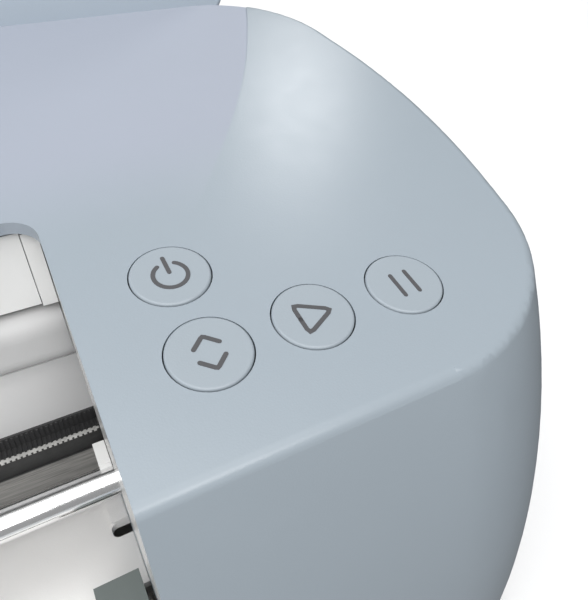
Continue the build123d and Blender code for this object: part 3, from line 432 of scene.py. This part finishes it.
def shade(mesh, smooth):
    """Shade every face of a mesh smooth or flat."""
    for polygon in mesh.polygons:
        polygon.use_smooth = smooth


def add_piece(name, bm, material, body, smooth=True):
    """Turn finished geometry into a named piece on a body."""
    bmesh.ops.recalc_face_normals(bm, faces=bm.faces)
    mesh = bpy.data.meshes.new(name)
    bm.to_mesh(mesh)
    bm.free()
    piece = add_object(name, mesh)
    dress(piece, material)
    shade(mesh, smooth)
    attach(piece, body)
    return piece


def square_to(direction):
    """Direction turned a quarter to the left in its plane."""
    return Vector((-direction.y, direction.x))


def stroke(bm, path, width, thickness, place):
    """Plate that follows an open 2D path with round ends, as a printed line does."""
    points = [Vector(p) for p in path]
    half = width / 2
    left = []
    right = []
    for i, point in enumerate(points):
        before = (point - points[i - 1]).normalized() if i else None
        after = (points[i + 1] - point).normalized() if i + 1 < len(points) else None
        across = square_to(((before or after) + (after or before)).normalized())
        offset = half / max(MITRE_LIMIT, across.dot(square_to(after or before)))
        left.append(point + across * offset)
        right.append(point - across * offset)
    ends = []
    for point, other in ((points[0], points[1]), (points[-1], points[-2])):
        out = (point - other).normalized()
        across = square_to(out)
        ends.append([point + half * (math.cos(a) * out + math.sin(a) * across) for a in END_ANGLES])
    outline = left + ends[1] + right[::-1] + ends[0]
    bottom, top = [
        [bm.verts.new(place @ Vector((p.x, p.y, depth))) for p in outline] for depth in (0, thickness)
    ]
    for i in range(len(outline)):
        bm.faces.new((bottom[i - 1], bottom[i], top[i], top[i - 1]))
    bmesh.ops.triangulate(bm, faces=[bm.faces.new(bottom[::-1]), bm.faces.new(top)])


def reach(origin, span):
    """Both ends of a span that is measured from an origin."""
    return origin + span[0], origin + span[1]


def brick(bm, wide, deep, high):
    """Box over three spans, with the edges round its top eased."""
    ease = EASE_SHARE * min(wide[1] - wide[0], deep[1] - deep[0])
    rings = []
    for z, inset in ((high[0], 0), (high[1] - ease, 0), (high[1], ease)):
        x0, x1 = wide[0] + inset, wide[1] - inset
        y0, y1 = deep[0] + inset, deep[1] - inset
        rings.append([bm.verts.new((x, y, z)) for x, y in ((x0, y0), (x1, y0), (x1, y1), (x0, y1))])
    for a, b in zip(rings, rings[1:]):
        for i in range(4):
            bm.faces.new((a[i], a[i - 3], b[i - 3], b[i]))
    bm.faces.new(rings[0][::-1])
    bm.faces.new(rings[-1])


# ---------------------------------------------------------------- casing


def make_casing(frame, materials):
    """Casing whose fold is shaded evenly from its top round into its front and sides."""
    bm = bmesh.new()
    bm.from_mesh(frame["nodes"]["upper_casing"].data)
    bmesh.ops.remove_doubles(bm, verts=bm.verts, dist=WELD)
    bmesh.ops.dissolve_degenerate(bm, edges=bm.edges, dist=SLIVER)
    for edge in bm.edges:
        edge.smooth = edge.calc_face_angle(math.pi) < SHARP_ANGLE
    casing = add_piece("casing_moulding", bm, materials["casing_blue"], "chassis")
    facet_normals = casing.data.attributes.get("custom_normal")
    if facet_normals:
        casing.data.attributes.remove(facet_normals)
    even = casing.modifiers.new("even", "WEIGHTED_NORMAL")
    even.keep_sharp = True
    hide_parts("upper_casing")


# ---------------------------------------------------------------- icons


def cap_top(name):
    """Centre of a key cap's flat top, from its box: its disc leans with the slope."""
    low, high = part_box(name)
    middle_y = low.y + COLLAR_RADIUS * math.cos(SLOPE) - COLLAR_DEPTH * math.sin(SLOPE)
    return Vector(((low.x + high.x) / 2, middle_y, high.z - CAP_RADIUS * math.sin(SLOPE)))


def cap_frame(name):
    """Matrix whose XY plane lies just under the top of a key cap, X right and Y up the slope."""
    leaning = Matrix.Translation(cap_top(name)) @ Matrix.Rotation(SLOPE, 4, "X")
    return leaning @ Matrix.Translation((0, 0, -ICON_SINK))


def arc(radius, start, end, steps):
    """Points on an arc about the origin, angles in degrees."""
    turn = [math.radians(start + (end - start) * i / steps) for i in range(steps + 1)]
    return [(radius * math.cos(a), radius * math.sin(a)) for a in turn]


def chevron(half, foot, peak):
    """Arrow head between two feet and a peak whose tip is cut round."""
    cut = 0.16
    tip_share = 0.6
    left = Vector((-half, foot)).lerp(Vector((0, peak)), 1 - cut)
    right = Vector((-left.x, left.y))
    middle = Vector((0, left.y + (peak - left.y) * tip_share))
    return [(-half, foot), left, middle, right, (half, foot)]


def play_outline():
    """Rounded triangle that points to the right, as a path that closes on itself."""
    corners = [Vector(corner) for corner in ((-0.36, -0.48), (0.50, 0.0), (-0.36, 0.48))]
    cut = 0.16
    overlap = 0.02
    path = []
    for i, here in enumerate(corners):
        before = here + (corners[i - 1] - here).normalized() * cut
        after = here + (corners[(i + 1) % 3] - here).normalized() * cut
        for share in (0, 0.5, 1):
            path.append((1 - share) ** 2 * before + 2 * share * (1 - share) * here + share**2 * after)
    start = (path[0] + path[-1]) / 2
    return [start] + path + [start + (path[0] - path[-1]).normalized() * overlap]


def make_icons(materials):
    """Printed signs on the key caps, drawn in cap radii: power, double arrow, pause and play."""
    signs = {
        "power_button": [arc(0.43, 121, 419, 40), [(0, 0.09), (0, 0.62)]],
        "load_button": [chevron(0.31, 0.19, 0.48), chevron(0.31, -0.19, -0.48)],
        "pause_button": [[(x, -0.36), (x, 0.36)] for x in (-0.22, 0.22)],
        "go_button": [play_outline()],
    }
    line = ICON_LINE * CAP_RADIUS
    for button, paths in signs.items():
        bm = bmesh.new()
        for path in paths:
            points = [Vector(point) * CAP_RADIUS for point in path]
            stroke(bm, points, line, ICON_SINK + ICON_RAISE, cap_frame(button))
        add_piece(button + "_icon", bm, materials["icon_grey"], button, smooth=False)


# ---------------------------------------------------------------- drive details


def pitch_places():
    """X of every tooth and rib, one pitch apart and centred on the channel."""
    low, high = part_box("belt_channel")
    count = int((high.x - low.x) / BELT_PITCH)
    start = low.x + (high.x - low.x - (count - 1) * BELT_PITCH) / 2
    return [start + i * BELT_PITCH for i in range(count)]


def make_belt_teeth(materials):
    """Cord and teeth along the top edge of the belt's front run."""
    belt_low, belt_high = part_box("drive_belt")
    channel_low, channel_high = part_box("belt_channel")
    front = belt_low.y
    top = belt_high.z
    bm = bmesh.new()
    brick(bm, (channel_low.x, channel_high.x), reach(front, CORD_DEEP), reach(top, CORD_HIGH))
    for x in pitch_places():
        brick(bm, reach(x, TOOTH_WIDE), reach(front, TOOTH_DEEP), reach(top, TOOTH_HIGH))
    add_piece("belt_teeth", bm, materials["belt_cord"], "chassis", smooth=False)


def make_channel_ribs(materials):
    """Fine ribs over the floor and up the rear wall of the channel behind the belt."""
    low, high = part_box("belt_channel")
    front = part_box("drive_belt")[0].y + RIB_START
    floor = low.z + CHANNEL_FLOOR
    wall = high.y - CHANNEL_WALL
    bm = bmesh.new()
    for x in pitch_places():
        brick(bm, reach(x, RIB_WIDE), (front, wall), reach(floor, FLOOR_RIB_HIGH))
        brick(bm, reach(x, RIB_WIDE), reach(wall, WALL_RIB_DEEP), (floor, high.z - RIB_END))
    add_piece("channel_ribs", bm, materials["black_plastic"], "chassis", smooth=False)


def make_lift_spring(frame, materials):
    """Return spring of the tool lift, a copy of its coil carried on the carriage."""
    spring = add_object("lift_spring_coil", frame["nodes"]["lift_spring"].data.copy())
    dress(spring, materials["steel"])
    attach(spring, "carriage")
    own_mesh(spring)
    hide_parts("lift_spring")


# ---------------------------------------------------------------- stage


def make_stage():
    """Pale round floor whose rim curves up into a pale backdrop."""
    angles = [2 * math.pi * i / FLOOR_TURNS for i in range(FLOOR_TURNS)]
    bm = bmesh.new()
    rings = []
    for radius, z in FLOOR_PROFILE:
        rings.append([bm.verts.new((radius * math.cos(a), radius * math.sin(a), z)) for a in angles])
    bm.faces.new(rings[0])
    for a, b in zip(rings, rings[1:]):
        for i in range(FLOOR_TURNS):
            bm.faces.new((a[i - 1], b[i - 1], b[i], a[i]))
    mesh = bpy.data.meshes.new("floor")
    bm.to_mesh(mesh)
    bm.free()
    floor = add_object("floor", mesh)
    shade(mesh, True)
    finish = Finish("floor_paper", 0.8)
    finish.colour(finish.noise(PAPER_SCALE), (0.86, 0.865, 0.87), (0.90, 0.90, 0.90))
    dress(floor, finish.material)
    floor.visible_diffuse = False
    floor.visible_glossy = False


def add_light(name, place, aim, size, power):
    """Large soft area light that faces a point."""
    data = bpy.data.lights.new(name, "AREA")
    data.shape = "ELLIPSE"
    data.size, data.size_y = size
    data.energy = power
    light = add_object(name, data)
    light.location = place
    light.rotation_euler = (Vector(aim) - Vector(place)).to_track_quat("-Z", "Y").to_euler()


def add_sky(name, toward, spread, strength):
    """Wide even light from one side of the sky."""
    data = bpy.data.lights.new(name, "SUN")
    data.angle = math.radians(spread)
    data.energy = strength
    light = add_object(name, data)
    light.rotation_euler = Vector(toward).to_track_quat("Z", "Y").to_euler()


def make_world():
    """Pale surroundings that dim towards the right."""
    world = bpy.data.worlds.new("studio")
    bpy.context.scene.world = world
    world.use_nodes = True
    nodes, links = world.node_tree.nodes, world.node_tree.links
    nodes["Background"].inputs["Color"].default_value = (0.98, 0.99, 1.0, 1)
    axes = nodes.new("ShaderNodeSeparateXYZ")
    links.new(nodes.new("ShaderNodeTexCoord").outputs["Generated"], axes.inputs["Vector"])
    fall = nodes.new("ShaderNodeMapRange")
    for key, value in (("From Min", -0.4), ("From Max", 0.8), ("To Min", 0.44), ("To Max", 0.10)):
        fall.inputs[key].default_value = value
    links.new(axes.outputs["X"], fall.inputs["Value"])
    links.new(fall.outputs["Result"], nodes["Background"].inputs["Strength"])


def make_lights():
    """Soft studio light: a wide sky, a lamp behind on the right, a front softbox and a fill."""
    low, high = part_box("upper_casing")
    glint = Vector((high.x - GLINT_IN, low.y + GLINT_BACK, high.z - GLINT_DOWN))
    lamp = glint + LAMP_DISTANCE * Vector(LAMP_TOWARD)
    add_sky("sky", toward=(-0.25, -0.25, 0.93), spread=75, strength=2.5)
    add_light("lamp", place=lamp, aim=glint, size=(0.26, 0.26), power=1.5)
    add_light("front", place=(0.40, -1.10, 1.15), aim=(0.19, -0.05, 0.117), size=(0.60, 0.50), power=4.5)
    add_light("fill", place=(-0.50, -1.25, 0.95), aim=(0.10, 0.0, 0.08), size=(1.0, 0.5), power=5)


def make_camera():
    """Camera over the opening's right end, looking down to the back right at the end cap."""
    data = bpy.data.cameras.new("camera")
    data.lens = CAMERA_LENS
    data.sensor_width = CAMERA_SENSOR
    data.clip_start = CAMERA_NEAR
    camera = add_object("camera", data)
    camera.location = cap_top("go_button") + RING_RADIUS * Vector(CAMERA_REACH)
    camera.rotation_euler = (math.radians(90 - CAMERA_DIP), 0, math.radians(-CAMERA_TURN))
    bpy.context.scene.camera = camera


# ---------------------------------------------------------------- scene


def main():
    """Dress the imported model, add the Blender pieces and set the stage."""
    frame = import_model()
    bpy.context.scene.view_settings.view_transform = "Standard"
    make_camera()
    materials = make_materials()
    dress_nodes(frame, materials)
    make_casing(frame, materials)
    make_icons(materials)
    make_belt_teeth(materials)
    make_channel_ribs(materials)
    make_lift_spring(frame, materials)
    make_stage()
    make_world()
    make_lights()


main()
